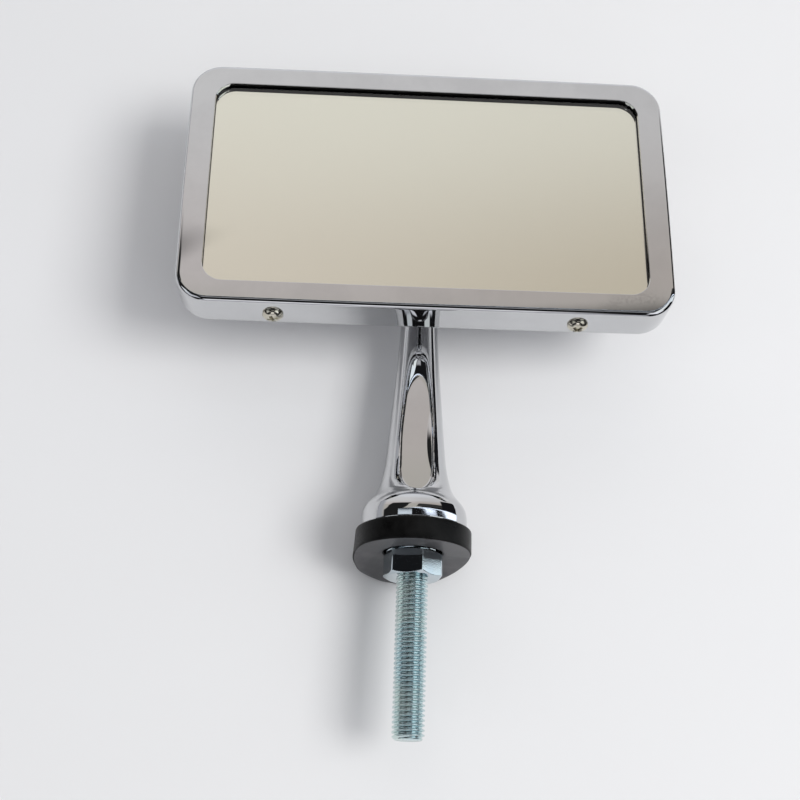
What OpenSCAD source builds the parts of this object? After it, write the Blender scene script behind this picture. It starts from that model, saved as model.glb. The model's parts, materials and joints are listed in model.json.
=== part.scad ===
// Pedestal rear-view mirror: a chromed rectangular head on a ball joint, carried by a cast
// stem that bolts through a panel with a threaded stud.
// +Z runs up the stem, the glass faces -Y, and the origin is the centre of the face that
// rests on the panel: the underside of the rubber gasket.

/* [Mirror head] */
// Width of the head over the chrome case
head_w = 127.2; // [110:0.2:150]
// Height of the head over the chrome case
head_h = 71.2; // [62:0.2:90]
// Depth of the head from the bezel face to the back of the rear cover
head_d = 12.7; // [12.4:0.1:14]
// Radius of the head's corners
head_corner_r = 8.3; // [7:0.1:12]
// Width of the flat bezel beside the opening
bezel_side_w = 6.6; // [5:0.1:10]
// Width of the flat bezel above and below the opening
bezel_top_w = 5.9; // [5:0.1:10]
// Radius of the opening's corners
opening_r = 5.2; // [2:0.1:8]
// Radius of the rounding along the case's front edge
edge_r = 1.3; // [0.5:0.1:2]
// Sheet thickness of the case and the rear cover
wall = 0.9; // [0.6:0.1:1.2]
// Thickness of the bezel, which sets how deep the glass lies
bezel_t = 1.0; // [0.8:0.1:1.4]
// Thickness of the mirror glass
glass_t = 1.4; // [1.2:0.1:2.4]
// Distance between the two case screws
case_screw_pitch = 77.8; // [60:0.2:90]
// Turn of the head about its own centre at rest, right side up
rest_roll = 1.1; // [-5:0.1:5]

/* [Placing of the head] */
// Height of the ball's centre, and of the head's centre, above the panel
head_z = 92.5; // [88:0.5:110]
// Distance of the bezel face in front of the stem's axis
face_y = 23.5; // [22:0.1:30]

/* [Ball joint] */
// Radius of the ball
ball_r = 4.5; // [4:0.1:4.6]
// Radius of the ball stud's neck
neck_r = 2.4; // [2:0.1:2.6]
// Distance of the ball's centre in front of the stem's axis
ball_y = 11.5; // [11:0.1:12]

/* [Stem] */
// Radius of the stem where it meets the ball stud
stem_top_r = 4.3; // [4:0.1:5]
// Radius of the stem's foot
foot_r = 13.4; // [12:0.1:14]
// Depth of the flat recess in the stem's front, from the stem's axis
recess_y = 4.7; // [4.4:0.1:5.5]

/* [Mounting] */
// Radius of the rubber gasket
gasket_r = 14.6; // [14:0.1:18]
// Thickness of the rubber gasket
gasket_t = 5.6; // [4:0.1:7]
// Radius of the stud over its thread
stud_r = 3.95; // [3.5:0.05:4]
// Length of the stud below the panel face
stud_free = 45.2; // [30:0.2:70]
// Width of the nut across its flats
nut_af = 13.2; // [12:0.1:14]
// Height of the nut
nut_h = 6.35; // [5:0.05:8]
// Thickness of the spring washer
washer_t = 1.5; // [1:0.1:2]

/* [Hidden] */
$fn = 96;
overlap = 0.3;

chrome = [0.80, 0.81, 0.83];
zinc = [0.70, 0.76, 0.76];
nickel = [0.74, 0.70, 0.58];
rubber = [0.07, 0.07, 0.07];

// Head: outlines and depths, with depth counted back from the bezel face
opening_w = head_w - 2 * bezel_side_w;
opening_h = head_h - 2 * bezel_top_w;
cavity_w = head_w - 2 * wall;
cavity_h = head_h - 2 * wall;
cavity_r = head_corner_r - wall;
skirt_d = head_d - 2.3;
edge_steps = 3;
glass_gap = 1.7;
glass_w = cavity_w - 2 * glass_gap;
glass_h = cavity_h - 2 * glass_gap;
glass_r = cavity_r - glass_gap;
glass_back = bezel_t + glass_t;
card_t = 0.5;
card_back = glass_back + card_t;
strip_clear = 0.2;
strip_d = 2.4;

// Rear cover
cover_inset = 0.2;
cover_chamfer = 1.8;
flange_clear = 0.15;
flange_t = 0.8;
flange_front = 3.9;
floor_inside = head_d - wall;
pad_size = [10, 8];
pad_at = [46, 21];

// Case screws and their clips, in the head's bottom side
case_screw_depth = 6.1;
case_screw_r = 1.4;
case_screw_head_r = 2.65;
case_screw_head_t = 1.5;
case_screw_len = 7;
slot_w = 0.7;
slot_d = 0.6;
clip_size = [8, 1.6, 3.4];
clip_boss_r = 1.8;

// Ball joint: every seat is a zone of a sphere about the ball's centre
fit = 0.05;
seat_t = 0.85;
seat_r = ball_r + fit + seat_t;
dome_in_r = seat_r + fit;
dome_out_r = dome_in_r + wall;
dome_mouth = 3.6;
ball_depth = face_y - ball_y;
front_seat_from = 2.0;
front_seat_to = seat_r - 0.2;
rear_seat_from = 0.4;
rear_seat_to = 3.2;
plate_back = ball_depth - front_seat_to - 0.1;
plate_t = 0.9;
plate_size = [32, 9];
plate_screw_x = 12;
post_r = 2.4;
plate_screw_r = 1.1;
plate_screw_head_r = 2.0;
plate_screw_head_t = 0.9;
plate_screw_len = 4.5;

// Ball stud's collar and shank in the stem
collar_r = 3.5;
collar_t = 1.1;
collar_seat = 3.9;
shank_r = 2.5;
shank_end = 2;

// Stem: [height above the gasket, radius] up its outside
stem_profile = [[0, foot_r - 0.4], [0.5, foot_r], [3.2, foot_r], [4.6, 13.2], [5.8, 12.75], [6.8, 12.1],
                [7.8, 11.25], [9.2, 10.2], [11.5, 9.15], [14.5, 8.4], [17.9, 7.85], [25, 7.2],
                [33.3, 6.55], [44.7, 5.7], [57, 4.95], [70, 4.45], [head_z - gasket_t, stem_top_r]];
stud_in_stem = 18;
engaged_r = stud_r - 0.35;
engaged_to = nut_h + 0.4;
stud_chamfer = 0.6;
recess_low = [4.4, 18.4];
recess_high = [2.5, 48.4];
gasket_recess_r = 7.4;
washer_r = 6.7;
washer_in_r = 4.2;
washer_gap = 1.6;
nut_chamfer = 0.8;
nut_turn = -15;
gasket_hole_r = 4.3;

// Rounded rectangle centred on the origin
module rounded(w, h, r) {
    square([w - 2 * r, h], center = true);
    square([w, h - 2 * r], center = true);
    for (x = [-1, 1], y = [-1, 1]) translate([x * (w / 2 - r), y * (h / 2 - r)]) circle(r);
}

// Slab of the head between two depths
module slab(w, h, r, front, back) {
    translate([0, 0, -back]) linear_extrude(back - front) rounded(w, h, r);
}

// Places the head's own axes: x right, y up, z out of the glass, from the bezel face's centre
module in_head() {
    translate([0, -ball_y, head_z]) rotate([0, -rest_roll, 0])
        translate([0, -ball_depth, 0]) rotate([90, 0, 0]) children();
}

// Places axes on the ball's centre, with z out of the back of the head
module at_ball() {
    translate([0, -ball_y, head_z]) rotate([0, -rest_roll, 0]) rotate([-90, 0, 0]) children();
}

// Places axes on a case screw's head seat, with z into the head
module at_case_screws() {
    for (side = [-1, 1])
        translate([side * case_screw_pitch / 2, -head_h / 2, -case_screw_depth]) rotate([-90, 0, 0]) children();
}

// Places axes on a plate screw's head seat, with z out of the glass
module at_plate_screws() {
    for (side = [-1, 1]) translate([side * plate_screw_x, 0, plate_t - plate_back]) children();
}

// Zone of a spherical shell between two heights
module ball_zone(r_in, r_out, low, high) {
    difference() {
        intersection() {
            sphere(r_out);
            translate([0, 0, low]) cylinder(h = high - low, r = r_out + 1);
        }
        sphere(r_in);
    }
}

module bezel_case() {
    color(chrome) in_head() difference() {
        union() {
            slab(head_w, head_h, head_corner_r, edge_r, skirt_d);
            for (k = [1 : edge_steps]) {
                inset = edge_r * k / (edge_steps + 1);
                slab(head_w - 2 * inset, head_h - 2 * inset, head_corner_r - inset,
                     edge_r * (1 - k / edge_steps), edge_r + overlap);
            }
        }
        slab(cavity_w, cavity_h, cavity_r, bezel_t, head_d + 1);
        slab(opening_w, opening_h, opening_r, -1, bezel_t + 1);
        at_case_screws() translate([0, 0, -1]) cylinder(h = wall + 2, r = case_screw_r + 0.1);
    }
}

module mirror_glass() {
    color([0.82, 0.85, 0.83]) in_head() slab(glass_w, glass_h, glass_r, bezel_t, glass_back);
}

module glazing_strip() {
    color(rubber) in_head() difference() {
        slab(cavity_w - strip_clear, cavity_h - strip_clear, cavity_r, bezel_t, bezel_t + strip_d);
        slab(glass_w + strip_clear, glass_h + strip_clear, glass_r, bezel_t - 1, head_d);
    }
}

module backing_card() {
    color([0.45, 0.36, 0.26]) in_head()
        slab(glass_w - 1, glass_h - 1, glass_r - 0.5, glass_back, card_back);
}

module pressure_pads() {
    color([0.2, 0.2, 0.2]) in_head()
        for (x = [-1, 1], y = [-1, 1])
            translate([x * pad_at[0], y * pad_at[1], -floor_inside])
                linear_extrude(floor_inside - card_back) square(pad_size, center = true);
}

module rear_cover() {
    cover_w = head_w - 2 * cover_inset;
    cover_h = head_h - 2 * cover_inset;
    cover_r = head_corner_r - cover_inset;
    flange_w = cavity_w - 2 * flange_clear;
    flange_h = cavity_h - 2 * flange_clear;
    flange_r = cavity_r - flange_clear;
    color(chrome) in_head() {
        difference() {
            union() {
                slab(cover_w, cover_h, cover_r, skirt_d + 0.1, head_d - cover_chamfer);
                for (k = [1 : edge_steps]) {
                    inset = cover_chamfer * k / (edge_steps + 1);
                    slab(cover_w - 2 * inset, cover_h - 2 * inset, cover_r - inset,
                         head_d - cover_chamfer - overlap, head_d - cover_chamfer * (1 - k / edge_steps));
                }
                slab(flange_w, flange_h, flange_r, flange_front, head_d - cover_chamfer);
                translate([0, 0, -ball_depth]) intersection() {
                    sphere(dome_out_r);
                    translate([0, 0, -dome_mouth]) cylinder(h = dome_mouth, r = dome_out_r + 1);
                }
            }
            slab(flange_w - 2 * flange_t, flange_h - 2 * flange_t, flange_r - flange_t, 0, floor_inside);
            translate([0, 0, -ball_depth]) sphere(dome_in_r);
            at_case_screws() translate([0, 0, -1]) cylinder(h = 5, r = case_screw_r + 0.1);
        }
        for (side = [-1, 1]) translate([side * plate_screw_x, 0, -floor_inside - overlap])
            difference() {
                cylinder(h = floor_inside - plate_back + overlap, r = post_r);
                translate([0, 0, 0.6 + overlap]) cylinder(h = floor_inside, r = plate_screw_r);
            }
    }
}

module case_screws() {
    color(nickel) in_head() at_case_screws() difference() {
        union() {
            translate([0, 0, -case_screw_head_t * 0.5]) cylinder(h = case_screw_head_t * 0.5, r = case_screw_head_r);
            translate([0, 0, -case_screw_head_t])
                cylinder(h = case_screw_head_t * 0.5, r1 = case_screw_head_r * 0.72, r2 = case_screw_head_r);
            cylinder(h = case_screw_len, r = case_screw_r);
        }
        translate([-case_screw_head_r - 1, -slot_w / 2, -case_screw_head_t - 1])
            cube([2 * case_screw_head_r + 2, slot_w, slot_d + 1]);
    }
}

module nut_clips() {
    color(zinc) in_head() at_case_screws()
        translate([0, 0, wall + flange_clear + flange_t + 0.05]) difference() {
            union() {
                translate([-clip_size[0] / 2, -clip_size[2] / 2, 0])
                    cube([clip_size[0], clip_size[2], clip_size[1]]);
                cylinder(h = 3.4, r = clip_boss_r);
            }
            translate([0, 0, -1]) cylinder(h = 6, r = case_screw_r);
        }
}

module spring_plate() {
    color([0.35, 0.36, 0.38]) in_head() difference() {
        slab(plate_size[0], plate_size[1], 3, plate_back - plate_t, plate_back);
        at_plate_screws() translate([0, 0, -2]) cylinder(h = 4, r = plate_screw_r + 0.1);
    }
}

module plate_screws() {
    color(zinc) in_head() at_plate_screws() difference() {
        union() {
            cylinder(h = plate_screw_head_t, r = plate_screw_head_r);
            translate([0, 0, -plate_screw_len]) cylinder(h = plate_screw_len + overlap, r = plate_screw_r);
        }
        translate([-plate_screw_head_r - 1, -0.3, plate_screw_head_t - 0.4])
            cube([2 * plate_screw_head_r + 2, 0.6, 2]);
    }
}

module front_ball_seat() {
    color([0.86, 0.84, 0.76]) at_ball() rotate([180, 0, 0])
        ball_zone(ball_r + fit, seat_r, front_seat_from, front_seat_to);
}

module rear_ball_seat() {
    color([0.86, 0.84, 0.76]) at_ball() ball_zone(ball_r + fit, seat_r, rear_seat_from, rear_seat_to);
}

module ball_stud() {
    color(chrome) translate([0, -ball_y, head_z]) rotate([-90, 0, 0]) {
        sphere(ball_r);
        cylinder(h = ball_y - collar_seat, r = neck_r);
        translate([0, 0, ball_y - collar_seat - collar_t]) cylinder(h = collar_t, r = collar_r);
        translate([0, 0, ball_y - collar_seat - overlap]) cylinder(h = collar_seat + shank_end + overlap, r = shank_r);
    }
}

// Outline of the recess in the stem's front, seen from the front
module recess_outline() {
    low_r = recess_low[0];
    high_r = recess_high[0];
    translate([0, recess_low[1]]) circle(low_r);
    translate([0, recess_high[1]]) circle(high_r);
    polygon([[-low_r, recess_low[1]], [low_r, recess_low[1]],
             [high_r, recess_high[1]], [-high_r, recess_high[1]]]);
}

module stem() {
    color(chrome) difference() {
        union() {
            translate([0, 0, gasket_t]) rotate_extrude()
                polygon(concat([[0, 0]], [for (p = stem_profile) [p[1], p[0]]], [[0, head_z - gasket_t]]));
            translate([0, 0, head_z]) sphere(stem_top_r);
        }
        translate([0, -recess_y, 0]) rotate([90, 0, 0]) linear_extrude(foot_r) recess_outline();
        translate([0, 0, gasket_t - 1]) cylinder(h = stud_in_stem + 1, r = engaged_r);
        translate([0, -collar_seat, head_z]) rotate([90, 0, 0]) cylinder(h = 5, r = collar_r + 0.1);
        translate([0, shank_end, head_z]) rotate([90, 0, 0]) cylinder(h = ball_y, r = shank_r);
    }
}

// The stud is slimmer where its thread is engaged, in the nut and in the stem
module threaded_stud() {
    top = gasket_t + stud_in_stem - 0.5;
    color(zinc) {
        translate([0, 0, -engaged_to - overlap]) cylinder(h = top + engaged_to + overlap, r = engaged_r);
        translate([0, 0, stud_chamfer - stud_free])
            cylinder(h = stud_free - stud_chamfer - engaged_to, r = stud_r);
        translate([0, 0, -stud_free]) cylinder(h = stud_chamfer, r1 = stud_r - stud_chamfer, r2 = stud_r);
    }
}

module gasket() {
    color(rubber) difference() {
        cylinder(h = gasket_t, r = gasket_r);
        translate([0, 0, -1]) cylinder(h = gasket_t + 2, r = gasket_hole_r);
        translate([0, 0, -1]) cylinder(h = washer_t + 1, r = gasket_recess_r);
    }
}

module spring_washer() {
    color(zinc) difference() {
        cylinder(h = washer_t, r = washer_r);
        translate([0, 0, -1]) cylinder(h = washer_t + 2, r = washer_in_r);
        rotate([0, 0, -28]) translate([0, -washer_gap / 2, -1]) cube([washer_r + 1, washer_gap, washer_t + 2]);
    }
}

module hex_nut() {
    across_corners = nut_af / cos(30);
    face_r = nut_af / 2 - 0.15;
    rim_r = across_corners / 2 + 0.35;
    color(zinc) translate([0, 0, -nut_h]) difference() {
        intersection() {
            rotate([0, 0, nut_turn]) cylinder(h = nut_h, d = across_corners, $fn = 6);
            rotate_extrude() polygon([[0, 0], [face_r, 0], [rim_r, nut_chamfer], [rim_r, nut_h - nut_chamfer],
                                      [face_r, nut_h], [0, nut_h]]);
        }
        translate([0, 0, -1]) cylinder(h = nut_h + 2, r = engaged_r);
    }
}

bezel_case();
mirror_glass();
glazing_strip();
backing_card();
pressure_pads();
rear_cover();
case_screws();
nut_clips();
spring_plate();
plate_screws();
front_ball_seat();
rear_ball_seat();
ball_stud();
stem();
threaded_stud();
gasket();
spring_washer();
hex_nut();
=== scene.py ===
import json
import math

import bmesh
import bpy
from mathutils import Matrix, Vector


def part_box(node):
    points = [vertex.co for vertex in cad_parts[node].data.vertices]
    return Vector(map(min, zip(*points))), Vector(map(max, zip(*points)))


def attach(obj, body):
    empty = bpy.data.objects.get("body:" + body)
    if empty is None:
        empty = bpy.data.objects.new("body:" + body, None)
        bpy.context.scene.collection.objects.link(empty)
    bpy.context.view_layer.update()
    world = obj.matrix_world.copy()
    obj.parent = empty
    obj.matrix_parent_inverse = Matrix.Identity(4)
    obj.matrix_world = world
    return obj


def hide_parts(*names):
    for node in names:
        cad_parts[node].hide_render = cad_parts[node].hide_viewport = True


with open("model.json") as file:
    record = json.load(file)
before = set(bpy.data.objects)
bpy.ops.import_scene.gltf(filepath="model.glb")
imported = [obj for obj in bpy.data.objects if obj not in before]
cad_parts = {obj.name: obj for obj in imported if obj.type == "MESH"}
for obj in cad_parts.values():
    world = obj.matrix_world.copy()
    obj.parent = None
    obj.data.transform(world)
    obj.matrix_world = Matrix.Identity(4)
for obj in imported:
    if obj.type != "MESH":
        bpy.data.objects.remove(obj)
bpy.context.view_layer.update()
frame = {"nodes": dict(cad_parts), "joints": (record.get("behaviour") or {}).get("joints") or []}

MM = 0.001
SCENE = bpy.context.scene

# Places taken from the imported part, in millimetres
BALL = Vector(frame["joints"][0]["pos_m"]) / MM
FACE_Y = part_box("bezel_case")[0].y / MM
GASKET_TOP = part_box("gasket")[1].z / MM
STUD_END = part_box("threaded_stud")[0].z / MM
WASHER_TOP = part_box("spring_washer")[1].z / MM
NUT_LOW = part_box("hex_nut")[0].z / MM

# Mirror head, in millimetres: sizes across the case, and depths back from the bezel face
HEAD_W, HEAD_H, HEAD_R = 127.2, 71.2, 8.3
OPENING_W, OPENING_H, OPENING_R = 114.0, 59.4, 5.2
REST_ROLL = 1.1
EDGE_R = 1.3
LIP_R = 0.1
EDGE_STRIP = 0.01
WALL = 0.9
BEZEL_T = 1.0
SKIRT_D = 10.4
SEAM_GAP = 0.12
COVER_INSET = 0.15
COVER_EDGE_R = 2.1
COVER_FILLET = 1.2
HEAD_D = 12.7
FLANGE_FRONT = 3.9
FLANGE_CLEAR = 0.15
SIDE_BOW = 0.15
WALL_CROWN = 0.08
GLASS_FRONT, GLASS_BACK, GLASS_EDGE, GLASS_BEVEL = 1.01, 2.38, 2.7, 0.15
DOME_R, DOME_IN_R, DOME_MOUTH = 6.35, 5.45, 3.6
POST_X, POST_R, POST_BORE_R, POST_TOP = 12, 2.4, 1.1, 6.1
CASE_SCREW_X, CASE_SCREW_D = 38.9, 6.1

CORNER_STEPS = 14
LONG_STEPS = 24
SHORT_STEPS = 14


# ---------------------------------------------------------------- mesh helpers

def head_matrix():
    """Head axes to the part's frame: x right, y up, z out of the glass, from the bezel face's centre."""
    return (Matrix.Translation(BALL) @ Matrix.Rotation(math.radians(-REST_ROLL), 4, "Y")
            @ Matrix.Translation((0, FACE_Y - BALL.y, 0)) @ Matrix.Rotation(math.radians(90), 4, "X"))


HEAD = head_matrix()


def smooth_step(low, high, value):
    t = min(1.0, max(0.0, (value - low) / (high - low)))
    return t * t * (3 - 2 * t)


def piecewise(table, value):
    """Value read from a short list of (position, value) pairs, in straight steps."""
    if value <= table[0][0]:
        return table[0][1]
    for (a, va), (b, vb) in zip(table, table[1:]):
        if value <= b:
            return va + (vb - va) * (value - a) / (b - a)
    return table[-1][1]


def eased(table, value):
    """Value read from a short list of (position, value) pairs, in eased steps."""
    if value <= table[0][0]:
        return table[0][1]
    for (a, va), (b, vb) in zip(table, table[1:]):
        if value <= b:
            return va + (vb - va) * smooth_step(a, b, value)
    return table[-1][1]


class Shape:
    """Vertices and faces in millimetres, collected before the mesh is made."""

    def __init__(self):
        self.points, self.faces, self.materials = [], [], []

    def rings(self, rings, loop=False, cap_start=False, cap_end=False, material=0, material_of=None):
        """Joins rings of equal length side by side; loop joins the last to the first."""
        count = len(rings[0])
        base = len(self.points)
        for ring in rings:
            self.points.extend(ring)
        last = len(rings) if loop else len(rings) - 1
        for i in range(last):
            a, b = base + i * count, base + ((i + 1) % len(rings)) * count
            number = material if material_of is None else material_of(i)
            for j in range(count):
                k = (j + 1) % count
                self.add((a + j, a + k, b + k, b + j), number)
        if cap_start:
            self.add(tuple(base + j for j in reversed(range(count))), material)
        if cap_end:
            end = base + (len(rings) - 1) * count
            self.add(tuple(end + j for j in range(count)), material)
        return self

    def add(self, face, material=0):
        self.faces.append(face)
        self.materials.append(material)

    def piece(self, name, body, slot, materials, matrix=None, replaces=(), sharp=35):
        """Makes the object, in metres, smooth except at edges sharper than the given angle."""
        matrix = matrix or Matrix.Identity(4)
        mesh = bpy.data.meshes.new(name)
        mesh.from_pydata([matrix @ Vector(p) * MM for p in self.points], [], self.faces)
        for polygon, number in zip(mesh.polygons, self.materials):
            polygon.material_index = number
        for material in materials:
            mesh.materials.append(material)
        cleaner = bmesh.new()
        cleaner.from_mesh(mesh)
        bmesh.ops.remove_doubles(cleaner, verts=cleaner.verts, dist=0.002 * MM)
        bmesh.ops.dissolve_degenerate(cleaner, edges=cleaner.edges, dist=0.001 * MM)
        bmesh.ops.recalc_face_normals(cleaner, faces=cleaner.faces)
        cleaner.to_mesh(mesh)
        cleaner.free()
        mesh.polygons.foreach_set("use_smooth", [True] * len(mesh.polygons))
        mesh.set_sharp_from_angle(angle=math.radians(sharp))
        piece = bpy.data.objects.new(name, mesh)
        SCENE.collection.objects.link(piece)
        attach(piece, body)
        if replaces:
            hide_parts(*replaces)
        return piece


def outline(w, h, r, bow=0.0):
    """Rounded rectangle, anticlockwise from the right side's top, with its sides bowed out a little."""
    corners = [(w / 2 - r, h / 2 - r), (r - w / 2, h / 2 - r), (r - w / 2, r - h / 2), (w / 2 - r, r - h / 2)]
    points = []
    for k, centre in enumerate(corners):
        for i in range(CORNER_STEPS + 1):
            a = math.radians(90 * (k + i / CORNER_STEPS))
            points.append((centre[0] + r * math.cos(a), centre[1] + r * math.sin(a)))
        end = points[-1]
        after = corners[(k + 1) % 4]
        a = math.radians(90 * (k + 1))
        start = (after[0] + r * math.cos(a), after[1] + r * math.sin(a))
        steps = LONG_STEPS if k % 2 == 0 else SHORT_STEPS
        for i in range(1, steps):
            t = i / steps
            out = bow * (1 - (2 * t - 1) ** 2)
            points.append((end[0] + (start[0] - end[0]) * t + out * math.cos(a),
                           end[1] + (start[1] - end[1]) * t + out * math.sin(a)))
    return points


def head_ring(inset, depth, bow=SIDE_BOW):
    """Ring of the head a given distance inside its outline."""
    r = max(0.4, HEAD_R - inset)
    return [(x, y, -depth) for x, y in outline(HEAD_W - 2 * inset, HEAD_H - 2 * inset, r, bow)]


def opening_ring(outset, depth):
    """Ring of the bezel a given distance outside its opening."""
    return [(x, y, -depth) for x, y in
            outline(OPENING_W + 2 * outset, OPENING_H + 2 * outset, OPENING_R + outset, SIDE_BOW * 0.3)]


def round_ring(like, radius, depth):
    """Circle whose points lie at the same bearings as another ring's."""
    ring = []
    for x, y, _ in like:
        a = math.atan2(y, x)
        ring.append((radius * math.cos(a), radius * math.sin(a), -depth))
    return ring


def between(ring_a, ring_b, t):
    """Ring part of the way from one ring to another."""
    return [tuple(a + (b - a) * t for a, b in zip(p, q)) for p, q in zip(ring_a, ring_b)]


def quarter(steps):
    """Angles of a quarter turn, both ends included."""
    return [math.radians(90 * i / steps) for i in range(steps + 1)]


# ---------------------------------------------------------------- material helpers

class Graph:
    """Short names for building a node tree."""

    def __init__(self, tree):
        self.tree = tree
        tree.nodes.clear()

    def node(self, kind, **values):
        made = self.tree.nodes.new(kind)
        for key, value in values.items():
            setattr(made, key, value)
        return made

    def feed(self, socket, value):
        if isinstance(value, bpy.types.NodeSocket):
            self.tree.links.new(value, socket)
        elif hasattr(value, "__len__") and len(value) == 3 and len(getattr(socket, "default_value", ())) == 4:
            socket.default_value = (*value, 1.0)
        else:
            socket.default_value = value

    def math(self, operation, *values):
        made = self.node("ShaderNodeMath", operation=operation)
        for socket, value in zip(made.inputs, values):
            self.feed(socket, value)
        return made.outputs[0]

    def ramp(self, value, low, high, to_low=0.0, to_high=1.0, smooth=True):
        made = self.node("ShaderNodeMapRange", interpolation_type="SMOOTHSTEP" if smooth else "LINEAR")
        for name, item in (("Value", value), ("From Min", low), ("From Max", high),
                           ("To Min", to_low), ("To Max", to_high)):
            self.feed(made.inputs[name], item)
        return made.outputs[0]

    def mix(self, share, a, b):
        made = self.node("ShaderNodeMix", data_type="RGBA")
        self.feed(made.inputs[0], share)
        self.feed(made.inputs[6], a)
        self.feed(made.inputs[7], b)
        return made.outputs[2]

    def noise(self, place, scale, detail=3.0, roughness=0.5, distortion=0.0):
        made = self.node("ShaderNodeTexNoise")
        self.feed(made.inputs["Vector"], place)
        made.inputs["Scale"].default_value = scale
        made.inputs["Detail"].default_value = detail
        made.inputs["Roughness"].default_value = roughness
        made.inputs["Distortion"].default_value = distortion
        return made.outputs["Fac"]

    def stretched(self, place, scale):
        made = self.node("ShaderNodeVectorMath", operation="MULTIPLY")
        self.feed(made.inputs[0], place)
        made.inputs[1].default_value = scale
        return made.outputs[0]

    def bump(self, height, distance, strength=1.0, normal=None):
        made = self.node("ShaderNodeBump")
        self.feed(made.inputs["Height"], height)
        made.inputs["Distance"].default_value = distance
        made.inputs["Strength"].default_value = strength
        if normal is not None:
            self.feed(made.inputs["Normal"], normal)
        return made.outputs[0]


def surface(name):
    """New material: its graph, its shader and the object's own coordinates."""
    material = bpy.data.materials.new(name)
    material.use_nodes = True
    graph = Graph(material.node_tree)
    out = graph.node("ShaderNodeOutputMaterial")
    shader = graph.node("ShaderNodeBsdfPrincipled")
    graph.tree.links.new(shader.outputs[0], out.inputs["Surface"])
    place = graph.node("ShaderNodeTexCoord").outputs["Object"]
    return material, graph, shader, place


def chrome(name, tint=(0.635, 0.64, 0.65), wave=0.0):
    """Bright plate: almost a mirror, with a faint haze in patches and very slight waves."""
    material, graph, shader, place = surface(name)
    haze = graph.noise(place, 60, 4, 0.6)
    fine = graph.noise(place, 1400, 2)
    shader.inputs["Metallic"].default_value = 1.0
    darker = tuple(0.93 * c for c in tint)
    graph.feed(shader.inputs["Base Color"], graph.mix(graph.ramp(haze, 0.35, 0.7), tint, darker))
    smear = graph.math("MULTIPLY", graph.ramp(haze, 0.45, 0.75), graph.ramp(fine, 0.3, 0.7))
    graph.feed(shader.inputs["Roughness"], graph.ramp(smear, 0.0, 1.0, 0.025, 0.075, smooth=False))
    if wave:
        graph.feed(shader.inputs["Normal"], graph.bump(graph.noise(place, 150, 1), wave * MM))
    return material


def bare_inside():
    """Unplated inside of the pressed pieces: dull and dark."""
    material, graph, shader, place = surface("inside_finish")
    mottle = graph.noise(place, 220, 5, 0.6)
    graph.feed(shader.inputs["Base Color"], graph.mix(mottle, (0.006, 0.006, 0.006), (0.018, 0.018, 0.018)))
    graph.feed(shader.inputs["Roughness"], graph.ramp(mottle, 0.2, 0.8, 0.45, 0.7))
    return material


def rubber(name, dark=(0.006, 0.006, 0.006), dusty=(0.030, 0.030, 0.031), gloss=0.52, shine=0.45):
    """Black moulded rubber: fine grain, with dust caught in it. In the gasket's face copy, the colours are
    raised as a painted sheen.
    """
    material, graph, shader, place = surface(name)
    grain = graph.noise(place, 2600, 3, 0.6)
    cloud = graph.noise(place, 210, 4, 0.55)
    graph.feed(shader.inputs["Base Color"], graph.mix(graph.ramp(cloud, 0.35, 0.75), dark, dusty))
    graph.feed(shader.inputs["Roughness"], graph.ramp(cloud, 0.2, 0.8, gloss - 0.08, gloss + 0.12))
    shader.inputs["Specular IOR Level"].default_value = shine
    graph.feed(shader.inputs["Normal"], graph.bump(grain, 0.03 * MM, 0.7))
    return material


def zinc(name, cool=(0.55, 0.69, 0.72), warm=(0.64, 0.74, 0.72), rough=0.17, wave=0.0):
    """Bright zinc plate: patches of blue and straw in the passivation, and a fine grain."""
    material, graph, shader, place = surface(name)
    film = graph.noise(place, 90, 2, 0.5, 0.4)
    grain = graph.noise(place, 3200, 2, 0.6)
    shader.inputs["Metallic"].default_value = 1.0
    graph.feed(shader.inputs["Base Color"], graph.mix(graph.ramp(film, 0.35, 0.68), cool, warm))
    graph.feed(shader.inputs["Roughness"], graph.ramp(film, 0.3, 0.7, 0.8 * rough, 1.3 * rough))
    normal = graph.bump(grain, 0.004 * MM, 0.6)
    if wave:
        normal = graph.bump(graph.noise(place, 420, 3, 0.6, 0.6), wave * MM, 1.0, normal)
    graph.feed(shader.inputs["Normal"], normal)
    return material


def nickel(name):
    """Nickel plate gone slightly yellow."""
    material, graph, shader, place = surface(name)
    stain = graph.noise(place, 700, 3, 0.6)
    shader.inputs["Metallic"].default_value = 1.0
    graph.feed(shader.inputs["Base Color"], graph.mix(graph.ramp(stain, 0.3, 0.7),
                                                      (0.68, 0.65, 0.56), (0.52, 0.49, 0.40)))
    graph.feed(shader.inputs["Roughness"], graph.ramp(stain, 0.2, 0.8, 0.10, 0.2))
    return material


def nylon():
    material, graph, shader, place = surface("nylon_natural")
    cloud = graph.noise(place, 500, 4)
    graph.feed(shader.inputs["Base Color"], graph.mix(cloud, (0.70, 0.67, 0.56), (0.58, 0.55, 0.45)))
    graph.feed(shader.inputs["Roughness"], graph.ramp(cloud, 0.2, 0.8, 0.35, 0.5))
    shader.inputs["Subsurface Weight"].default_value = 0.1
    shader.inputs["Subsurface Scale"].default_value = 1 * MM
    return material


def blued_steel():
    material, graph, shader, place = surface("spring_steel_blued")
    streak = graph.noise(graph.stretched(place, (1, 1, 12)), 300, 3)
    shader.inputs["Metallic"].default_value = 1.0
    graph.feed(shader.inputs["Base Color"], graph.mix(streak, (0.14, 0.15, 0.19), (0.26, 0.25, 0.25)))
    graph.feed(shader.inputs["Roughness"], graph.ramp(streak, 0.2, 0.8, 0.25, 0.42))
    return material


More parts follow.
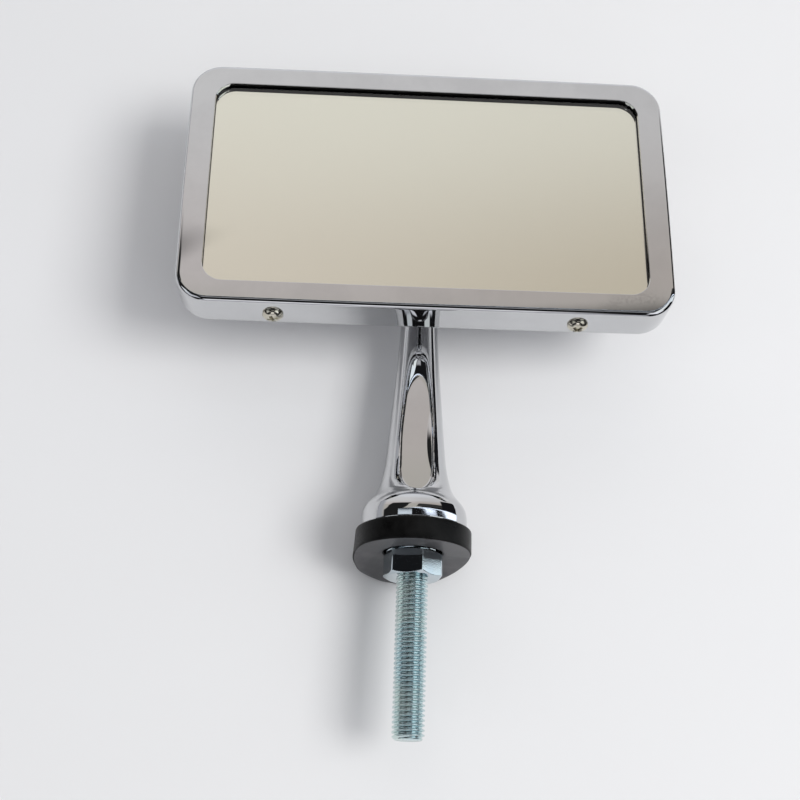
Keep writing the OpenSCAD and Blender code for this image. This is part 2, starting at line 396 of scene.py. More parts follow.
def fibre_card():
    material, graph, shader, place = surface("card_fibre")
    fibre = graph.noise(graph.stretched(place, (1, 1, 6)), 900, 6, 0.7, 1.0)
    graph.feed(shader.inputs["Base Color"], graph.mix(fibre, (0.10, 0.065, 0.035), (0.26, 0.18, 0.11)))
    graph.feed(shader.inputs["Roughness"], graph.ramp(fibre, 0.2, 0.8, 0.75, 0.95))
    graph.feed(shader.inputs["Normal"], graph.bump(fibre, 0.05 * MM, 0.8))
    return material


def pane_glass():
    """Clear glass with the faintest green, and a trace of dust in its gloss."""
    material, graph, shader, place = surface("pane_glass")
    dust = graph.noise(place, 900, 4, 0.7)
    graph.feed(shader.inputs["Base Color"], graph.mix(graph.ramp(dust, 0.55, 0.8),
                                                      (0.985, 0.995, 0.985), (0.97, 0.975, 0.965)))
    shader.inputs["Roughness"].default_value = 0.0
    shader.inputs["IOR"].default_value = 1.52
    shader.inputs["Transmission Weight"].default_value = 1.0
    return material


def silvering():
    """Silvered back of the glass."""
    material, graph, shader, place = surface("silvering")
    drift = graph.noise(place, 25, 3)
    shader.inputs["Metallic"].default_value = 1.0
    graph.feed(shader.inputs["Base Color"], graph.mix(drift, (0.84, 0.825, 0.725), (0.83, 0.81, 0.71)))
    shader.inputs["Roughness"].default_value = 0.0
    return material


CHROME = chrome("chrome_plate")
CAST_CHROME = chrome("chrome_plate_cast", wave=0.004)
INSIDE = bare_inside()
RUBBER = rubber("rubber_black")
WALL_RUBBER = rubber("rubber_moulded", (0.003, 0.003, 0.003), (0.008, 0.008, 0.008), 0.30, 0.12)
# The face copy of the gasket's rubber is painted much lighter than the wall copy: a painted sheen of the pale
# table it faces.
RUBBER_FACE_SHEEN = rubber("rubber_painted_sheen", (0.080, 0.080, 0.084), (0.132, 0.128, 0.132), 0.36, 0.4)
ZINC = zinc("zinc_plate")
NUT_ZINC = zinc("zinc_plate_nut", (0.52, 0.60, 0.66), (0.60, 0.66, 0.68), 0.035, 0.0012)
NICKEL = nickel("nickel_plate")


# ---------------------------------------------------------------- mirror head

def case_rings():
    """Section of the case, from the skirt round the bezel into the opening and back inside."""
    rings = []
    skirt_end = SKIRT_D - 0.15

    def wall_at(depth):
        span = (SKIRT_D - EDGE_R) / 2
        t = (depth - EDGE_R - span) / span
        return -WALL_CROWN * (1 - t * t)

    for i in range(13):
        depth = skirt_end - (skirt_end - EDGE_R) * i / 12
        rings.append(head_ring(wall_at(depth), depth))
    for a in quarter(9)[1:]:
        rings.append(head_ring(EDGE_R * (1 - math.cos(a)), EDGE_R * (1 - math.sin(a))))
    outer = rings[-1]
    inner = opening_ring(LIP_R, 0)
    for t in (EDGE_STRIP, 0.25, 0.5, 0.75, 1 - EDGE_STRIP, 1):
        rings.append(between(outer, inner, t))
    for a in quarter(4)[1:]:
        rings.append(opening_ring(LIP_R * (1 - math.sin(a)), LIP_R * (1 - math.cos(a))))
    rings.append(opening_ring(0, BEZEL_T - 0.1))
    outside = len(rings)
    rings.append(opening_ring(0.1, BEZEL_T))
    rings.append(head_ring(WALL + 0.3, BEZEL_T))
    rings.append(head_ring(WALL, BEZEL_T + 0.3))
    rings.append(head_ring(WALL, SKIRT_D))
    rings.append(head_ring(0.15, SKIRT_D))
    return rings, outside


def make_case():
    rings, outside = case_rings()
    inside = range(outside - 1, len(rings) - 2)
    shape = Shape().rings(rings, loop=True, material_of=lambda i: 1 if i in inside else 0)
    return shape.piece("case", "head", "chrome", [CHROME, INSIDE], HEAD, ["bezel_case"])


def make_glass():
    """Pane with bevelled edges; its back face is the silvering."""
    shape = Shape()

    def ring(inset, depth):
        edge = GLASS_EDGE + inset
        return [(x, y, -depth) for x, y in outline(HEAD_W - 2 * edge, HEAD_H - 2 * edge, HEAD_R - edge)]

    rings = [ring(GLASS_BEVEL, GLASS_FRONT), ring(0, GLASS_FRONT + GLASS_BEVEL),
             ring(0, GLASS_BACK - GLASS_BEVEL), ring(GLASS_BEVEL, GLASS_BACK)]
    shape.rings(rings, cap_start=True)
    count = len(rings[0])
    shape.add(tuple(3 * count + j for j in range(count)), 1)
    return shape.piece("glass", "head", "mirror", [pane_glass(), silvering()], HEAD, ["mirror_glass"])


def make_cover():
    """Rear cover: flange inside the case, rounded rim, flat back and the dome over the ball."""
    ball_d = BALL.y - FACE_Y
    like = head_ring(COVER_INSET, SKIRT_D)
    seam_d = SKIRT_D + SEAM_GAP
    rings = [head_ring(COVER_INSET + 0.1, seam_d), head_ring(COVER_INSET, seam_d + 0.1)]
    for a in quarter(8):
        rings.append(head_ring(COVER_INSET + COVER_EDGE_R * (1 - math.cos(a)),
                               HEAD_D - COVER_EDGE_R * (1 - math.sin(a))))
    rim = rings[-1]
    foot = round_ring(like, DOME_R + COVER_FILLET, HEAD_D)
    for t in (0.2, 0.4, 0.6, 0.8, 0.92, 1):
        rings.append(between(rim, foot, t))
    for a in quarter(5)[1:-1]:
        rings.append(round_ring(like, DOME_R + COVER_FILLET * (1 - math.sin(a)),
                                HEAD_D + COVER_FILLET * (1 - math.cos(a))))
    low = HEAD_D - ball_d + COVER_FILLET
    for i in range(7):
        rise = low + (DOME_MOUTH - low) * i / 6
        rings.append(round_ring(like, math.sqrt(DOME_R ** 2 - rise ** 2), ball_d + rise))
    outside = len(rings)
    for i in range(9):
        rise = DOME_MOUTH - (DOME_MOUTH - HEAD_D + WALL + ball_d) * i / 8
        rings.append(round_ring(like, math.sqrt(DOME_IN_R ** 2 - rise ** 2), ball_d + rise))
    flange_in = WALL + FLANGE_CLEAR + 0.8
    floor_d = HEAD_D - WALL
    inner = head_ring(flange_in + 0.5, floor_d)
    for t in (0.5, 1):
        rings.append(between(round_ring(like, DOME_IN_R, floor_d), inner, t))
    rings.append(head_ring(flange_in, floor_d - 0.5))
    rings.append(head_ring(flange_in, FLANGE_FRONT))
    rings.append(head_ring(WALL + FLANGE_CLEAR, FLANGE_FRONT))
    rings.append(head_ring(WALL + FLANGE_CLEAR, seam_d))
    shape = Shape().rings(rings, loop=True, material_of=lambda i: 1 if i >= outside + 8 else 0)
    for side in (-1, 1):
        section = ((POST_R, floor_d + 0.2), (POST_R, POST_TOP + 0.2), (POST_R - 0.2, POST_TOP),
                   (POST_BORE_R, POST_TOP), (POST_BORE_R, floor_d - 0.4))
        post = [[(side * POST_X + r * math.cos(a), r * math.sin(a), -d)
                 for a in [math.radians(15 * k) for k in range(24)]] for r, d in section]
        shape.rings(post, cap_start=True, cap_end=True, material=1)
    return shape.piece("back_cover", "head", "chrome", [CHROME, INSIDE], HEAD, ["rear_cover"])


def make_case_screws():
    """Pan-head screws with a cross recess, in the head's bottom side."""
    head_r, head_t, shank_r, length = 2.65, 1.55, 1.4, 7.0
    arm_l, arm_w, recess = 1.55, 0.42, 0.75
    outside = 9
    shape = Shape()
    segments = 96
    for side, turn in ((-1, 0.35), (1, 0.9)):
        place = (Matrix.Translation((side * CASE_SCREW_X, -HEAD_H / 2 - SIDE_BOW - 0.02, -CASE_SCREW_D))
                 @ Matrix.Rotation(math.radians(90), 4, "X") @ Matrix.Rotation(turn, 4, "Z"))

        def top(x, y):
            """Height of the head's crown, with the cross recess sunk in it."""
            r = math.hypot(x, y)
            crown = head_t - 0.95 * (r / head_r) ** 4 - 0.12 * (r / head_r) ** 2
            across = min(abs(x) if abs(y) < arm_l else outside, abs(y) if abs(x) < arm_l else outside)
            reach = max(abs(x), abs(y))
            in_arm = 1 - smooth_step(arm_w - 0.12, arm_w + 0.08, across)
            in_cross = 1 - smooth_step(arm_l - 0.45, arm_l, reach)
            return crown - recess * (in_arm * in_cross)

        rings = []
        for z, r in ((-length, 0.9), (-length + 0.6, shank_r), (-0.05, shank_r),
                     (0, head_r - 0.15), (0.1, head_r)):
            rings.append([(r, k, z) for k in range(segments)])
        for i in range(29):
            rings.append([(head_r * (1 - i / 28.6), k, None) for k in range(segments)])
        placed = []
        for ring in rings:
            row = []
            for r, k, z in ring:
                a = 2 * math.pi * k / segments
                x, y = r * math.cos(a), r * math.sin(a)
                row.append(tuple(place @ Vector((x, y, top(x, y) if z is None else z))))
            placed.append(row)
        shape.rings(placed, cap_start=True, cap_end=True)
    return shape.piece("side_screws", "head", "nickel", [NICKEL], HEAD, ["case_screws"], sharp=50)


# ---------------------------------------------------------------- stem

# Outside of the stem: (height above the gasket, radius)
STEM_PROFILE = [(0, 13.0), (0.25, 13.3), (0.5, 13.42), (2.2, 13.42), (3.2, 13.38), (4.6, 13.2), (5.8, 12.75),
                (6.8, 12.1), (7.8, 11.25), (9.2, 10.2), (11.5, 9.15), (14.5, 8.4), (17.9, 7.85), (25, 7.2),
                (33.3, 6.55), (44.7, 5.7), (57, 4.95), (70, 4.45), (84, 4.3)]
SCOOP_FLOOR = 4.7
SCOOP_TILT = 3.5
# The cove along the floor's right edge: steepness, width, and where up the stem it is widest and ends
SCOOP_COVE, SCOOP_COVE_W, SCOOP_COVE_Z, SCOOP_COVE_L = 0.22, 2.1, 27.5, 11.5
# The arch over the floor: steepness, where it starts on the centre line, and how much lower at the sides
SCOOP_ARCH, SCOOP_ARCH_Z, SCOOP_ARCH_BEND = 0.030, 45.6, 0.6
# Half width of the scoop up its length: (height above the panel face, half width)
SCOOP_SIDES = [(18.4, 4.4), (28.8, 4.31), (40.8, 3.4), (49.4, 2.4)]
# Round ends of the scoop: (radius, height of its centre)
SCOOP_LOW = (4.4, 18.4)
SCOOP_HIGH = (2.4, 49.4)
# The rounded wall round the floor: its height, its width up the stem, and what its low end adds to that
SCOOP_WALL_H, SCOOP_WALL_W, SCOOP_WALL_LOW = 3.0, 0.55, 0.7
# How softly the rim runs out: at the scoop's low end, and how much less towards its top
SCOOP_SOFT, SCOOP_SOFT_DROP = 0.2, 0.14
# Steps between the stem's rings: (up to this height above the panel face, step)
STEM_STEPS = [(GASKET_TOP + 12, 0.1), (22, 0.13), (40, 0.25), (53, 0.13), (GASKET_TOP + 83, 0.8)]


def spline(table):
    """Smooth curve through a list of (position, value) pairs, with no overshoot."""
    xs = [p[0] for p in table]
    ys = [p[1] for p in table]
    slopes = [(ys[i + 1] - ys[i]) / (xs[i + 1] - xs[i]) for i in range(len(xs) - 1)]
    tangents = [slopes[0]]
    for a, b in zip(slopes, slopes[1:]):
        tangents.append(0.0 if a * b <= 0 else 2 * a * b / (a + b))
    tangents.append(slopes[-1])

    def value(x):
        if x <= xs[0]:
            return ys[0]
        if x >= xs[-1]:
            return ys[-1]
        i = max(k for k in range(len(xs) - 1) if xs[k] <= x)
        h = xs[i + 1] - xs[i]
        t = (x - xs[i]) / h
        return ((2 * t ** 3 - 3 * t ** 2 + 1) * ys[i] + (t ** 3 - 2 * t ** 2 + t) * h * tangents[i]
                + (3 * t ** 2 - 2 * t ** 3) * ys[i + 1] + (t ** 3 - t ** 2) * h * tangents[i + 1])
    return value


stem_radius = spline(STEM_PROFILE)
scoop_half = spline(SCOOP_SIDES)


def scoop_inside(x, z):
    """Distance inside the scoop's rim, seen from the front; negative outside."""
    if z < SCOOP_LOW[1]:
        return SCOOP_LOW[0] - math.hypot(x, z - SCOOP_LOW[1])
    if z > SCOOP_HIGH[1]:
        return SCOOP_HIGH[0] - math.hypot(x, z - SCOOP_HIGH[1])
    return scoop_half(z) - abs(x)


def scoop_depth(x, z):
    """Distance of the scoop's surface in front of the stem's axis.

    The floor leans back, rises in a cove along its right edge and in an arch at its top.
    """
    inside = scoop_inside(x, z)
    floor = SCOOP_FLOOR - (z - 32) * math.tan(math.radians(SCOOP_TILT))
    cove_w = SCOOP_COVE_W * max(0.0, 1 - ((z - SCOOP_COVE_Z) / SCOOP_COVE_L) ** 2)
    cove = SCOOP_COVE * max(0.0, x - scoop_half(z) + cove_w) ** 2
    arch = SCOOP_ARCH * max(0.0, z - SCOOP_ARCH_Z + SCOOP_ARCH_BEND * x * x) ** 2
    wall_w = SCOOP_WALL_W + SCOOP_WALL_LOW * (1 - smooth_step(16, 21, z))
    t = min(1.0, max(0.0, inside / wall_w))
    if inside > 0:
        wall = SCOOP_WALL_H * (1 - math.sqrt(max(0.0, 1 - (1 - t) ** 2)))
    else:
        wall = SCOOP_WALL_H - inside * 9
    return floor + cove + arch + wall


def stem_point(angle, z):
    """Point on the stem at a bearing from its front, with the scoop sunk into it."""
    r = stem_radius(z - GASKET_TOP)
    x, y = r * math.sin(angle), -r * math.cos(angle)
    if abs(angle) < math.radians(85) and 12 < z < 54:
        front = -y
        blend = SCOOP_SOFT - SCOOP_SOFT_DROP * smooth_step(34, 44, z)
        gap = scoop_depth(x, z) - front
        if gap < 4 * blend:
            front = front + 0.5 * (gap - math.sqrt(gap * gap + blend * blend))
        y = -front
    return x, y, z


def stem_angles():
    """Bearings round the stem, close together across the scoop."""
    fine = math.radians(64)
    front = [fine * (2 * i / 150 - 1) for i in range(151)]
    back = [fine + (2 * math.pi - 2 * fine) * i / 64 for i in range(1, 64)]
    return front + back


def stem_heights():
    """Heights of the stem's rings, close together where its outline bends and across the scoop."""
    top = GASKET_TOP + STEM_PROFILE[-1][0]
    heights = [GASKET_TOP + h for h in (0, 0.1, 0.2, 0.35)]
    z = GASKET_TOP + 0.4
    for limit, step in STEM_STEPS:
        while z < limit:
            z += step
            heights.append(z)
    heights.append(top)
    return heights


def make_stem():
    """The pedestal: foot, tapered stem with the scoop in its front, and round top."""
    angles = stem_angles()
    rings = [[stem_point(a, z) for a in angles] for z in stem_heights()]
    top = GASKET_TOP + STEM_PROFILE[-1][0]
    r = STEM_PROFILE[-1][1]
    for i in range(1, 10):
        a = math.radians(9 * i)
        rings.append([(r * math.cos(a) * math.sin(b), -r * math.cos(a) * math.cos(b),
                       top + r * math.sin(a)) for b in angles])
    shape = Shape().rings(rings, cap_start=True, cap_end=True)
    return shape.piece("pedestal", "base", "chrome", [CAST_CHROME], None, ["stem"], sharp=60)


# ---------------------------------------------------------------- gasket, stud, nut and washer

# How the soft disc hangs: (bearing from the front, drop of its lower rim) to the left and to the right
DROP_LEFT = [(0, 0), (60, 0), (90, 0.3), (120, 2.6), (150, 4.1), (180, 4.5)]
DROP_RIGHT = [(0, 0), (70, 0), (95, 0.2), (120, 1.6), (150, 3.6), (180, 4.5)]
BULGE_LEFT = [(0, 0), (80, 0), (110, 0.9), (125, 1.3), (150, 0.6), (180, 0)]


def gasket_rim(angle):
    """Outward bulge and drop of the gasket's lower rim at a bearing, positive to the right."""
    bearing = abs(math.degrees(angle))
    if angle < 0:
        return eased(BULGE_LEFT, bearing), piecewise(DROP_LEFT, bearing)
    return 0.0, piecewise(DROP_RIGHT, bearing)


def make_gasket():
    """Soft disc under the foot, with a recess round the washer and a rim that hangs at the back."""
    radius, hole, recess_r = 14.6, 4.3, 7.4
    angles = [math.radians(-180 + 360 * i / 144) for i in range(144)]
    soft = 0.35

    def ring(r, z, follow, rim=0.0):
        """follow says how far this ring takes part in the rim's drop."""
        points = []
        for a in angles:
            bulge, drop = gasket_rim(a)
            out = r + bulge * rim
            points.append((out * math.sin(a), -out * math.cos(a), z - drop * follow))
        return points

    rings = [ring(hole, GASKET_TOP, 0), ring(radius - 1.5, GASKET_TOP, 0),
             ring(radius - soft, GASKET_TOP - 0.02, 0.1)]
    for a in quarter(4)[1:]:
        out, down = soft * (1 - math.sin(a)), soft * (1 - math.cos(a))
        rings.append(ring(radius - out, GASKET_TOP - down, 0.12, 0.1))
    for i in range(1, 8):
        t = i / 8
        z = GASKET_TOP - soft - (GASKET_TOP - 2 * soft) * t
        rings.append(ring(radius, z, 0.12 + 0.88 * t ** 1.2, 0.1 + 0.9 * t))
    for a in quarter(4):
        rings.append(ring(radius - soft * (1 - math.cos(a)), soft * (1 - math.sin(a)), 1.0, 1.0))
    for i in range(1, 9):
        t = i / 8
        r = radius - soft + (recess_r + 0.3 - radius + soft) * t
        rings.append(ring(r, 0.0, (1 - t) ** 0.8 * 0.98 + 0.02, 1 - t))
    face_to = len(rings) - 1
    face_from = face_to - 8
    rings.append(ring(recess_r, 0.25, 0))
    rings.append(ring(recess_r, WASHER_TOP, 0))
    rings.append(ring(hole, WASHER_TOP, 0))
    shape = Shape().rings(rings, loop=True, material_of=lambda i: 1 if face_from <= i < face_to else 0)
    finish = [WALL_RUBBER, RUBBER_FACE_SHEEN]
    return shape.piece("gasket_disc", "base", "rubber", finish, None, ["gasket"], sharp=40)


def make_stud():
    """Stud with its whole thread cut: the rows of the mesh follow the helix."""
    pitch, crest_r, root_r = 1.1545, 3.95, 3.30
    steps_round, per_turn = 48, 12
    z_low, z_high = STUD_END, GASKET_TOP + 16
    chamfer = 0.7

    def thread(phase):
        """Radius along one pitch: rounded crest, straight flanks, rounded root."""
        wave = 0.5 + 0.5 * math.cos(2 * math.pi * phase)
        flank = smooth_step(0.08, 0.92, wave)
        return root_r + (crest_r - root_r) * (0.6 * flank + 0.4 * wave)

    rows = int((z_high - z_low) / pitch * per_turn) + 2 * per_turn
    rings = []
    for i in range(rows):
        ring = []
        for j in range(steps_round + 1):
            turn = j / steps_round
            z = min(z_high, max(z_low, z_low + pitch * (i / per_turn + turn - 1)))
            radius = thread((z - z_low) / pitch - turn)
            end = min(z - z_low, z_high - z)
            radius = min(radius, crest_r - chamfer + end)
            a = 2 * math.pi * turn
            ring.append((radius * math.cos(a), radius * math.sin(a), z))
        rings.append(ring)
    shape = Shape()
    count = steps_round + 1
    for ring in rings:
        shape.points.extend(ring)
    for i in range(rows - 1):
        for j in range(steps_round):
            a, b = i * count + j, (i + 1) * count + j
            shape.add((a, a + 1, b + 1, b))
    piece = shape.piece("stud", "base", "zinc", [ZINC], None, ["threaded_stud"], sharp=60)
    close_ends(piece)
    return piece


def close_ends(piece):
    """Fills the open end loops of a mesh and turns all its faces outward."""
    mesh = bmesh.new()
    mesh.from_mesh(piece.data)
    bmesh.ops.holes_fill(mesh, edges=[e for e in mesh.edges if len(e.link_faces) == 1])
    bmesh.ops.recalc_face_normals(mesh, faces=mesh.faces)
    for edge in mesh.edges:
        edge.smooth = len(edge.link_faces) != 2 or edge.calc_face_angle(0) < math.radians(60)
    mesh.to_mesh(piece.data)
    mesh.free()


def make_nut():
    """Hexagon nut with chamfered corners; each flat ends in the chamfer's arc."""
    across, bore, turn = 13.2, 3.5, -15
    apothem = across / 2
    top, low = 0.0, NUT_LOW
    columns, steps, end_h = 240, 14, 1.0
    chamfer_slope = math.tan(math.radians(60))
    chamfer_soft, corner_soft = 0.08, 0.06
    corner = apothem / math.cos(math.radians(30)) - 0.12

    def hexagon(a):
        """Distance from the axis to the flats at a bearing."""
        return apothem / max(math.cos(a - math.radians(turn + 60 * k + 30)) for k in range(6))

    def cone(z):
        """Distance from the axis to the chamfer at a height."""
        end = min(top - z, z - low)
        return apothem - 0.1 + end * chamfer_slope

    heights = [top - end_h * (i / steps) for i in range(steps + 1)]
    heights += [top - end_h - (top - low - 2 * end_h) * i / 6 for i in range(1, 6)]
    heights += [low + end_h * (1 - i / steps) for i in range(steps + 1)]
    angles = [2 * math.pi * i / columns for i in range(columns)]

    def ring(z):
        points = []
        for a in angles:
            flat, chamfer = hexagon(a), cone(z)
            gap = flat - chamfer
            r = 0.5 * (flat + chamfer - math.sqrt(gap * gap + chamfer_soft * chamfer_soft))
            over = r - corner
            if over > -0.3:
                r -= 0.5 * (over + math.sqrt(over * over + corner_soft ** 2))
            points.append((r * math.cos(a), r * math.sin(a), z))
        return points

    rings = [ring(z) for z in heights]
    bore_section = ((bore + 0.55, low), (bore, low + 0.5), (bore, top - 0.5), (bore + 0.55, top))
    inner = [[(r * math.cos(a), r * math.sin(a), z) for a in angles] for r, z in bore_section]
    shape = Shape().rings(rings + inner, loop=True)
    return shape.piece("nut", "base", "zinc", [NUT_ZINC], None, ["hex_nut"], sharp=22)


def make_washer():
    """Split spring washer: a square section that climbs a little round to its cut."""
    inner, outer, thick, gap, at = 4.2, 6.7, WASHER_TOP, 16, -28
    edge = 0.15
    section = [(outer - edge, 0), (outer, edge), (outer, thick - edge), (outer - edge, thick),
               (inner + edge, thick), (inner, thick - edge), (inner, edge), (inner + edge, 0)]
    rings = []
    steps = 90
    for i in range(steps + 1):
        a = math.radians(at + gap / 2 + (360 - gap) * i / steps)
        lift = -0.45 * (1 - smooth_step(0, 0.25, i / steps))
        rings.append([(r * math.cos(a), r * math.sin(a), z + lift * (1 - z / thick)) for r, z in section])
    shape = Shape().rings(rings, cap_start=True, cap_end=True)
    return shape.piece("split_washer", "base", "zinc", [NUT_ZINC], None, ["spring_washer"], sharp=35)


# ---------------------------------------------------------------- stage, light and camera

# The table's lean towards the head in degrees, its place behind the gasket, and its edges
TABLE_TILT = 3
TABLE_Y = 14.9
TABLE_HALF = 1500
TABLE_RIGHT = 124

DARK = (0.02, 0.02, 0.02)
BRIGHT = (1.7, 1.9, 2.2)
# What stands in the room, in the order it is laid on: colour, bearings, heights, softness and lean
ROOM_PATCHES = [
    (DARK, (-64, -20), (15, 29), 1.2, -1.6),                        # dark doorway on the left
    ((0.012, 0.012, 0.014), (60, 104), (-50, 36), 2, 0),            # dark wall on the right
    ((0.9, 1.0, 1.1), (-38, -8), (16.9, 17.2), 0.05, 0),            # low window, left
    (BRIGHT, (3, 26), (17.0, 19.0), 0.15, 22),                      # low window, right
    (BRIGHT, (40, 76), (16.2, 20), 0.15, 24),                       # low window, far right
    ((1.1, 1.2, 1.25), (30, 98), (3, 14.7), 0.3, 0),                # bright ledge under it
    ((1.1, 1.16, 1.16), (30, 60), (-22, 4), 1.5, 0),                # pale furniture, right
    ((0.9, 0.95, 0.98), (-66, -38), (-22, -5), 1.5, 0),             # pale furniture, left
    ((1.2, 1.22, 1.3), (24, 75), (-44, -22), 1.5, 0),               # pale floor, right
    ((0.7, 0.72, 0.78), (-75, -24), (-44, -22), 1.5, 0),            # pale floor, left
    ((1.3, 1.3, 1.35), (-24, 24), (-66, -53), 1.5, 0),              # pale floor, in front
    ((0.50, 0.51, 0.53), (-13, 24), (-9, 2), 2, 0),                 # grey wall straight ahead
]


def make_table():
    """The pale surface that the mirror lies on, behind it; it doesn't show from its own back."""
    material = bpy.data.materials.new("table_white")
    material.use_nodes = True
    graph = Graph(material.node_tree)
    out = graph.node("ShaderNodeOutputMaterial")
    paper = graph.node("ShaderNodeBsdfPrincipled")
    place = graph.node("ShaderNodeTexCoord").outputs["Object"]
    cloud = graph.noise(place, 6, 3)
    graph.feed(paper.inputs["Base Color"], graph.mix(cloud, (0.80, 0.80, 0.815), (0.83, 0.825, 0.83)))
    paper.inputs["Roughness"].default_value = 0.55
    paper.inputs["Specular IOR Level"].default_value = 0.25
    clear = graph.node("ShaderNodeBsdfTransparent")
    choose = graph.node("ShaderNodeMixShader")
    graph.feed(choose.inputs[0], graph.node("ShaderNodeNewGeometry").outputs["Backfacing"])
    graph.feed(choose.inputs[1], paper.outputs[0])
    graph.feed(choose.inputs[2], clear.outputs[0])
    graph.feed(out.inputs["Surface"], choose.outputs[0])
    shape = Shape()
    shape.points = [(-TABLE_HALF, 0, -TABLE_HALF), (TABLE_RIGHT, 0, -TABLE_HALF),
                    (TABLE_RIGHT, 0, TABLE_HALF), (-TABLE_HALF, 0, TABLE_HALF)]
    shape.add((0, 1, 2, 3))
    mesh = bpy.data.meshes.new("table")
    place = Matrix.Translation((0, TABLE_Y, 0)) @ Matrix.Rotation(math.radians(TABLE_TILT), 4, "X")
    mesh.from_pydata([place @ Vector(p) * MM for p in shape.points], [], shape.faces)
    mesh.materials.append(material)
    table = bpy.data.objects.new("table", mesh)
    SCENE.collection.objects.link(table)
    return table


def make_room():
    """What the plating reflects: a pale ceiling, a dark side towards the viewer, and windows on the right.

    Bearings are in degrees from straight in front of the glass, positive to the right;
    heights are degrees up the stem's direction. The camera itself sees a plain pale backdrop.
    """
    world = bpy.data.worlds.new("room")
    SCENE.world = world
    world.use_nodes = True
    graph = Graph(world.node_tree)
    out = graph.node("ShaderNodeOutputWorld")
    direction = graph.node("ShaderNodeSeparateXYZ")
    graph.feed(direction.inputs[0], graph.node("ShaderNodeTexCoord").outputs["Generated"])
    x, y, z = direction.outputs
    degrees = 180 / math.pi
    bearing = graph.math("MULTIPLY", graph.math("ARCTAN2", x, graph.math("MULTIPLY", y, -1.0)), degrees)
    height = graph.math("MULTIPLY", graph.math("ARCSINE", z), degrees)

    def lay(colour, patch, bearings, heights, soft, lean):
        """Lays a soft-edged patch of another colour over what is there; lean slopes its two sides."""
        middle = (heights[0] + heights[1]) / 2
        shift = graph.math("MULTIPLY", graph.math("SUBTRACT", height, middle), lean)
        leaning = graph.math("ADD", bearing, shift)
        share = 1.0
        for value, (low, high) in ((leaning, bearings), (height, heights)):
            share = graph.math("MULTIPLY", share, graph.ramp(value, low - soft, low + soft))
            share = graph.math("MULTIPLY", share, graph.ramp(value, high - soft, high + soft, 1.0, 0.0))
        return graph.mix(share, colour, patch)

    near_left = graph.mix(graph.ramp(height, 27, 37), (0.72, 0.67, 0.65), (0.82, 0.81, 0.81))
    near_right = graph.mix(graph.ramp(height, 27, 37), (0.58, 0.53, 0.49), (0.77, 0.76, 0.76))
    colour = graph.mix(graph.ramp(bearing, -12, 18), near_left, near_right)
    colour = graph.mix(graph.ramp(height, 45, 70), colour, (0.90, 0.92, 0.96))
    colour = graph.mix(graph.ramp(height, 25.5, 28, 1.0, 0.0), colour, (0.60, 0.57, 0.52))
    edge = graph.math("ADD", graph.ramp(bearing, -72, 10, 16.7, 18.8, smooth=False),
                      graph.ramp(bearing, -12, 45, 0, 7.5))
    below = graph.ramp(graph.math("SUBTRACT", edge, height), -0.3, 0.3)
    colour = graph.mix(below, colour, (0.012, 0.012, 0.013))
    colour = graph.mix(graph.ramp(height, -68, -64, 1.0, 0.0), colour, (0.60, 0.60, 0.64))
    colour = lay(colour, (0.05, 0.05, 0.048), (4.2, 74), (22, 26.6), 0.5, -1.5)
    left = graph.math("MULTIPLY", graph.ramp(bearing, -80, -68, 1.0, 0.0), graph.ramp(height, -5, 5))
    colour = graph.mix(left, colour, (0.46, 0.47, 0.50))
    for patch in ROOM_PATCHES:
        colour = lay(colour, *patch)
    behind = graph.mix(graph.ramp(height, -40, 30), (0.36, 0.37, 0.40), (0.84, 0.86, 0.90))
    colour = graph.mix(graph.ramp(bearing, 108, 124), colour, behind)
    colour = graph.mix(graph.ramp(bearing, -124, -108, 1.0, 0.0), colour, behind)

    seen = graph.node("ShaderNodeLightPath").outputs["Is Camera Ray"]
    room = graph.node("ShaderNodeBackground")
    graph.feed(room.inputs["Color"], colour)
    room.inputs["Strength"].default_value = 1.0
    plain = graph.node("ShaderNodeBackground")
    graph.feed(plain.inputs["Color"], (0.78, 0.78, 0.79))
    choose = graph.node("ShaderNodeMixShader")
    graph.feed(choose.inputs[0], seen)
    graph.feed(choose.inputs[1], room.outputs[0])
    graph.feed(choose.inputs[2], plain.outputs[0])
    graph.feed(out.inputs["Surface"], choose.outputs[0])


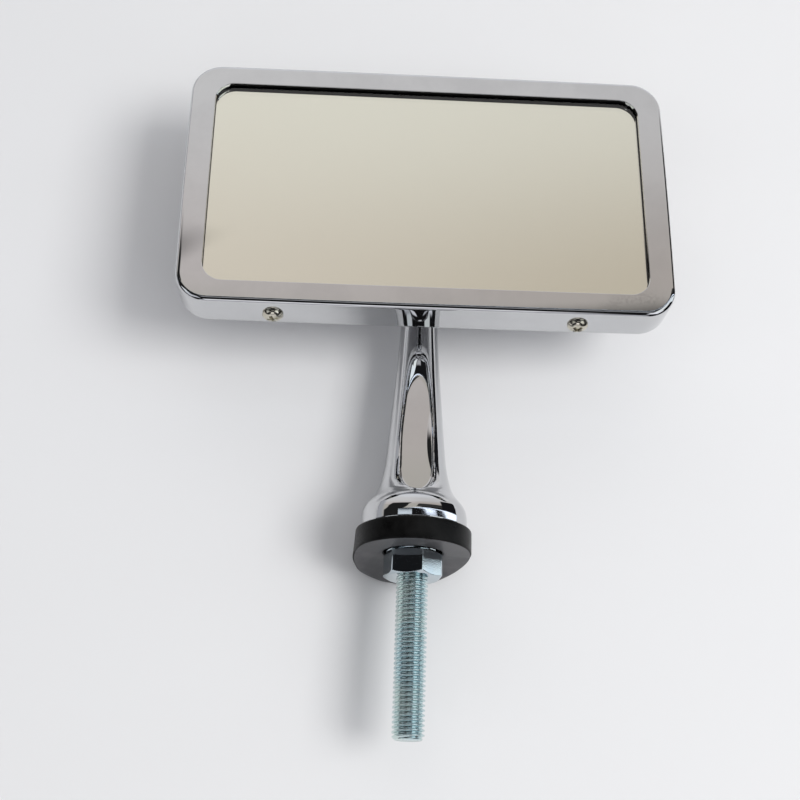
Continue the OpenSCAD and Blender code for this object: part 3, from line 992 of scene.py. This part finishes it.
def make_light(name, at, aim, size, power, colour):
    """Soft rectangular light that doesn't show in the plating, which reflects the room instead."""
    data = bpy.data.lights.new(name, "AREA")
    data.shape = "RECTANGLE"
    data.size, data.size_y = size[0] * MM, size[1] * MM
    data.energy = power
    data.color = colour
    light = bpy.data.objects.new(name, data)
    SCENE.collection.objects.link(light)
    place, target = Vector(at) * MM, Vector(aim) * MM
    light.location = place
    light.rotation_euler = (target - place).to_track_quat("-Z", "Y").to_euler()
    light.visible_glossy = False
    light.visible_camera = False
    light.visible_transmission = False
    return light


def make_camera():
    """Camera at the photograph's place: below the head, looking up at it."""
    at = Vector((-17.24, -291.53, -78.92))
    azimuth, rise, roll = math.radians(-2.5), math.radians(22.4), math.radians(1.9)
    level = Vector((-math.sin(azimuth), math.cos(azimuth), 0))
    forward = level * math.cos(rise) + Vector((0, 0, math.sin(rise)))
    right = Vector((math.cos(azimuth), math.sin(azimuth), 0))
    right = right * math.cos(roll) + right.cross(forward) * math.sin(roll)
    up = right.cross(forward)
    data = bpy.data.cameras.new("camera")
    data.sensor_width = 36
    data.lens = 54
    data.clip_start = 0.005
    data.clip_end = 20
    camera = bpy.data.objects.new("camera", data)
    SCENE.collection.objects.link(camera)
    turned = Matrix((right, up, -forward)).transposed().to_4x4()
    camera.matrix_world = Matrix.Translation(at * MM) @ turned
    SCENE.camera = camera


def finish_cad_nodes():
    """Gives the CAD pieces that stay their materials."""
    rest = {"glazing_strip": RUBBER, "backing_card": fibre_card(), "pressure_pads": RUBBER,
            "nut_clips": ZINC, "spring_plate": blued_steel(), "plate_screws": ZINC,
            "front_ball_seat": nylon(), "ball_stud": CHROME}
    rest["rear_ball_seat"] = rest["front_ball_seat"]
    for node, material in rest.items():
        mesh = frame["nodes"][node].data
        if len(mesh.materials) == 0:
            mesh.materials.append(material)
        for i in range(len(mesh.materials)):
            mesh.materials[i] = material


make_case()
make_glass()
make_cover()
make_case_screws()
make_stem()
make_gasket()
make_stud()
make_nut()
make_washer()
finish_cad_nodes()
make_table()
make_room()
make_light("window_light", (740, -985, -120), (0, 0, 40), (560, 560), 8.0, (1.0, 0.99, 0.97))
make_light("ceiling_light", (60, -900, -100), (0, 0, 40), (1400, 1200), 2.7, (0.98, 0.99, 1.0))
make_camera()
SCENE.view_settings.view_transform = "Standard"
